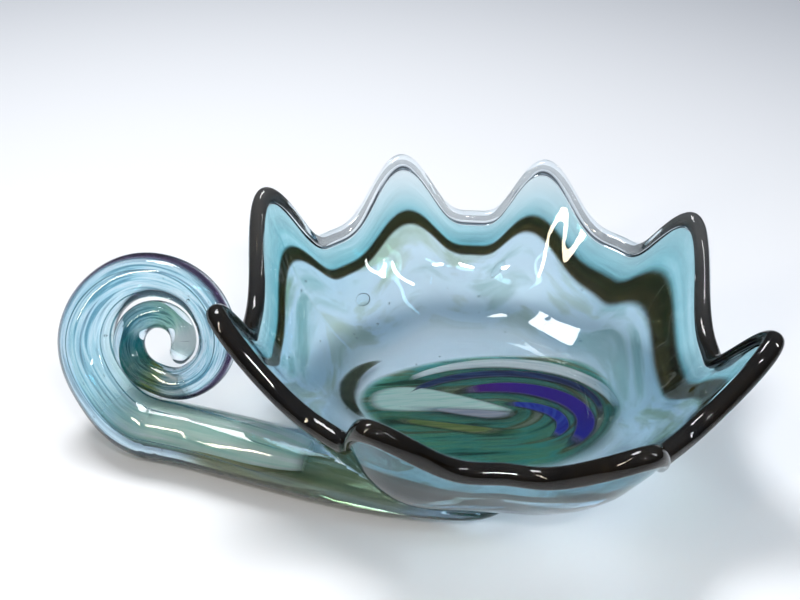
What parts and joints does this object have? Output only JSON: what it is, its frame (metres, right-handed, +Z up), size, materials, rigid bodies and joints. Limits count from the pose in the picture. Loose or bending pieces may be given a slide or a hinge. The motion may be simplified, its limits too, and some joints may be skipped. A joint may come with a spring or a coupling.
{
  "type": "art glass bowl",
  "caption": "Hand-blown cased glass bowl with a wavy rim drawn up into points and a tapering tail that curls into an upright coil; swirled colour in the thick floor.",
  "frame": {"origin": "centre of the ground pontil in the middle of the foot, on the table", "axes": "+X away from the coiled tail, along the longest side; +Y towards the back; +Z up out of the bowl"},
  "size_m": [0.3516, 0.2666, 0.105],
  "materials": {
    "aqua_glass": "clear, fire polished",
    "tint_glass": "clear with green and blue mottling",
    "smoke_glass": "dark smoky olive brown",
    "teal_glass": "transparent teal",
    "lip_glass": "dark brown-black, glossy",
    "olive_glass": "dark olive",
    "opal_glass": "milky mint opal",
    "white_glass": "milky white",
    "amber_glass": "olive amber",
    "navy_glass": "dark navy",
    "cobalt_glass": "cobalt turning violet",
    "lilac_glass": "grey lilac",
    "green_glass": "transparent teal green",
    "label_paper": "matt, blank"
  },
  "bodies": {
    "root": {"clear_casing": "aqua_glass", "inner_layer": "tint_glass", "smoke_band": "smoke_glass", "teal_collar": "teal_glass", "lip_wrap": "lip_glass", "seam_crescent": "olive_glass", "paper_label": "label_paper", "tail_casing": "aqua_glass", "tail_core": "opal_glass", "coil_ribbon": "white_glass", "amber_streak": "amber_glass", "white_cane": "white_glass", "navy_cane": "navy_glass", "cobalt_cane": "cobalt_glass", "blue_cane": "cobalt_glass", "mint_cane": "opal_glass", "lilac_cane": "lilac_glass", "olive_cane": "olive_glass", "teal_ground": "green_glass"}
  },
  "joints": []
}
